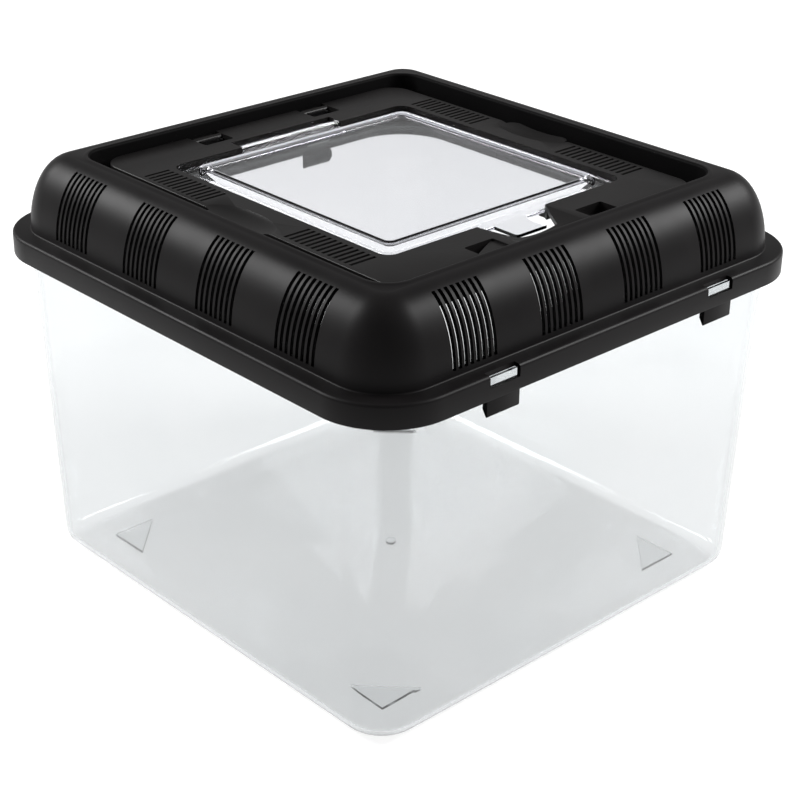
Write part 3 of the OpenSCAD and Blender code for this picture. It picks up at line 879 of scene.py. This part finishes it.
def makeHatch():
    low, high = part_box("hatch_window")
    thick = hatch["thick"]
    front = low.y + hatch["tongueLength"]
    back = high.y - hatch["backGap"]
    flangeTop = low.z + thick

    def ring(inwards, radius, z):
        return (high.x - inwards, front + inwards, back - inwards, radius, z)

    # from the hollow under the pane, down and round the flange, then up the wall and over the bead
    soft = hatch["soft"]
    flange, corner, wallCorner = hatch["flange"], hatch["corner"], hatch["wallCorner"]
    paneTop = high.z - hatch["bead"][-1][1] * mm
    skin, beadWidth = hatch["skin"], hatch["bead"][-1][0] * mm
    grooveIn = flange + beadWidth - skin
    rings = [
        ring(grooveIn, wallCorner - skin, paneTop - thick),
        ring(grooveIn, wallCorner - skin, high.z - skin),
        ring(flange + skin, wallCorner - skin / 2, high.z - skin),
        ring(flange + skin, wallCorner - skin / 2, low.z),
        ring(soft, corner - soft, low.z),
        ring(0, corner, low.z + soft),
        ring(0, corner, flangeTop - soft),
        ring(soft, corner - soft, flangeTop),
        ring(flange, wallCorner, flangeTop),
    ]
    for inwards, drop in hatch["bead"]:
        beadCorner = wallCorner - inwards * hatch["cornerShrink"] * mm
        rings.append(ring(flange + inwards * mm, beadCorner, high.z - drop * mm))
    piece = loft("hatchWindow", rings, hatch["steps"])

    # tongue, web, ridged bar and pins
    half = hatch["tongueWidth"] / 2
    tongue = block("tongue", (-half, low.y, low.z), (half, front + hatch["overlap"], flangeTop))
    pick(tongue, "EDGE", lambda edge: upright(edge) and edge.verts[0].co.y < front)
    bpy.ops.mesh.bevel(offset=hatch["tongueRound"], segments=5, affect="EDGES")
    endEdit()
    weld(piece, tongue)
    axisY, axisZ = high.y - hatch["barRadius"], high.z - hatch["axisDrop"]
    reach = hatch["barLength"] / 2
    barLength = hatch["barLength"]
    bar = rod("bar", hatch["barRadius"], (-reach, axisY, axisZ), barLength, hatch["barSides"])
    weld(bar, block("web", (-reach, back - hatch["overlap"], low.z), (reach, axisY, flangeTop)))
    ridgeOut = hatch["barRadius"] - hatch["ridgeSunk"]
    for angle in hatch["ridgeAngles"]:
        ridgeY = axisY + ridgeOut * math.cos(math.radians(angle))
        ridgeZ = axisZ + ridgeOut * math.sin(math.radians(angle))
        weld(bar, rod("ridge", hatch["ridgeRadius"], (-reach, ridgeY, ridgeZ), barLength,
                      hatch["ridgeSides"]))
    pinStart = (-reach - hatch["pinLength"], axisY, axisZ)
    weld(bar, rod("pins", hatch["pinRadius"], pinStart, 2 * (reach + hatch["pinLength"])))
    weld(piece, bar)
    smooth(piece)
    settle(piece, "hatch_window", "hatch", hatchFinish)


tub = {
    "wall": 2.2 * mm, "foot": 1.6 * mm, "taper": 7 * mm, "rimSide": 6.5 * mm, "rimEnd": 5.5 * mm,
    "topRadius": 30 * mm, "baseRadius": 24 * mm, "cornerSteps": 14, "lip": 6 * mm,
    "fillet": 9 * mm, "filletSteps": 6,
    "footLeg": 27 * mm, "footInset": 28 * mm,
    "gateRadius": 3.5 * mm, "gateRise": 1.1 * mm, "gateSides": 40,
}


def makeTub():
    low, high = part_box("tub")
    wall = tub["wall"]
    topX, topY = high.x - tub["rimSide"], high.y - tub["rimEnd"]
    baseX, baseY = topX - tub["taper"], topY - tub["taper"]
    floorLow = low.z + tub["foot"]
    rimLow = high.z - wall
    steps = tub["cornerSteps"]
    # floor outline, top outline and rim outline, bridged one to the next
    base = roundedSheet("clearBody", baseX, baseY, tub["baseRadius"], floorLow, steps)
    mouth = roundedSheet("mouth", topX, topY, tub["topRadius"], rimLow, steps)
    edge = roundedSheet("edge", high.x - wall, high.y - wall,
                        tub["topRadius"] + tub["rimSide"] - wall, rimLow, steps)
    for ring in (mouth, edge):
        pick(ring, "FACE", lambda face: True)
        bpy.ops.mesh.delete(type="ONLY_FACE")
        endEdit()
    body = gather([base, mouth], "clearBody")
    pick(body, "EDGE", lambda side: len(side.link_faces) < 2)
    bpy.ops.mesh.bridge_edge_loops()
    endEdit()
    body = gather([body, edge], "clearBody")
    pick(body, "EDGE", lambda side: len(side.link_faces) < 2)
    bpy.ops.mesh.bridge_edge_loops()
    endEdit()
    pick(body, "EDGE", lambda side: len(side.link_faces) == 1)
    bpy.ops.mesh.extrude_region_move(TRANSFORM_OT_translate={"value": (0, 0, wall - tub["lip"])})
    endEdit()
    pick(body, "EDGE", level(floorLow))
    bpy.ops.mesh.bevel(offset=tub["fillet"], segments=tub["filletSteps"], affect="EDGES")
    endEdit()
    faceOut(body, floorLow, False)
    thicken(body, wall)

    # feet and the round mark in the floor
    legEnd = tub["footLeg"]
    x, y = baseX - tub["footInset"], baseY - tub["footInset"]
    corners = [(x, y), (x - legEnd, y), (x, y - legEnd)]
    foot = prism("foot", corners, low.z, floorLow + wall / 2, "z")
    weld(body, gather(mirrored(mirrored([foot], 0), 1), "feet"))
    floorTop = floorLow + wall
    bpy.ops.object.select_all(action="DESELECT")
    bpy.ops.mesh.primitive_cylinder_add(vertices=tub["gateSides"], radius=tub["gateRadius"],
                                        depth=wall / 2 + tub["gateRise"],
                                        location=(0, 0, floorTop + (tub["gateRise"] - wall / 2) / 2))
    gate = bpy.context.object
    bpy.ops.object.transform_apply(location=True, rotation=True, scale=True)
    weld(body, gate)
    smooth(body, 40)
    settle(body, "tub", "tub", tubFinish)


makeLidFrame()
makeDoorPanel()
makeHatch()
makeTub()
